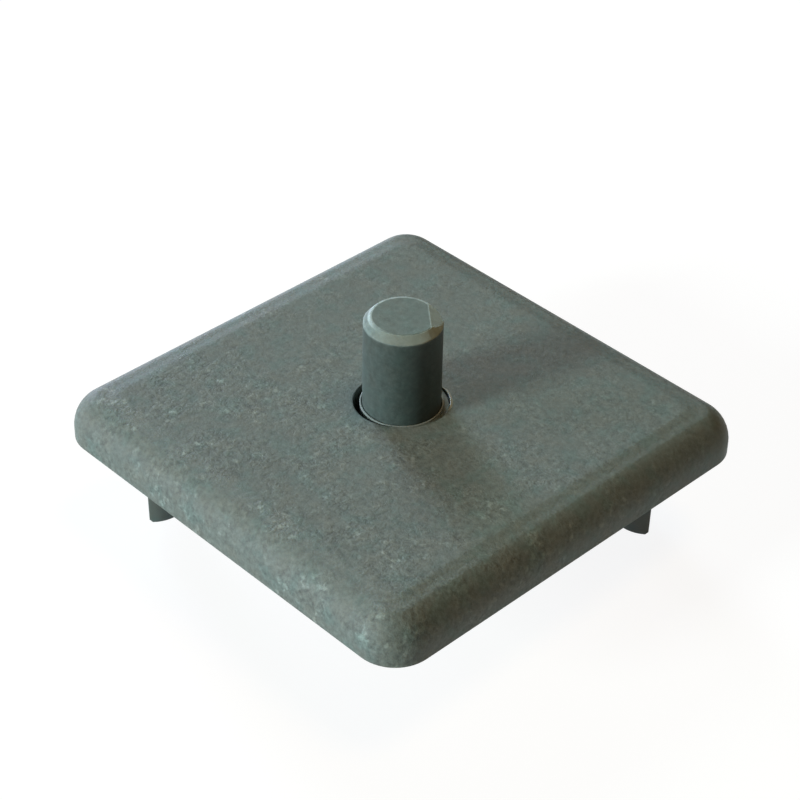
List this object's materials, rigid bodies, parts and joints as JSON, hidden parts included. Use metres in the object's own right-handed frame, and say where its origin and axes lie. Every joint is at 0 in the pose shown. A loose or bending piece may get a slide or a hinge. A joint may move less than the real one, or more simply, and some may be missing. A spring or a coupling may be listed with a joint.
{
  "type": "profile end cap",
  "caption": "Square plastic end cap for a modular aluminium profile, with a split core sleeve, corner pegs and a drive pin that is knocked in flush to lock it.",
  "frame": {"origin": "on the axis of the core sleeve, at the seating face that lies on the profile's end", "axes": "+Z points out of the profile, along the drive pin; X and Y run along the plate's sides, and both pegs stand on the X = Y diagonal"},
  "size_m": [0.045, 0.045, 0.0237],
  "materials": {
    "cap_plastic": "matte",
    "pin_plastic": "satin"
  },
  "bodies": {
    "cap": {"cap_body": "cap_plastic"},
    "pin": {"drive_pin": "pin_plastic"}
  },
  "joints": [
    {"name": "pin_drive", "type": "slide", "parent": "cap", "child": "pin", "axis": [0, 0, -1], "range_m": [0, 0.00955]}
  ]
}
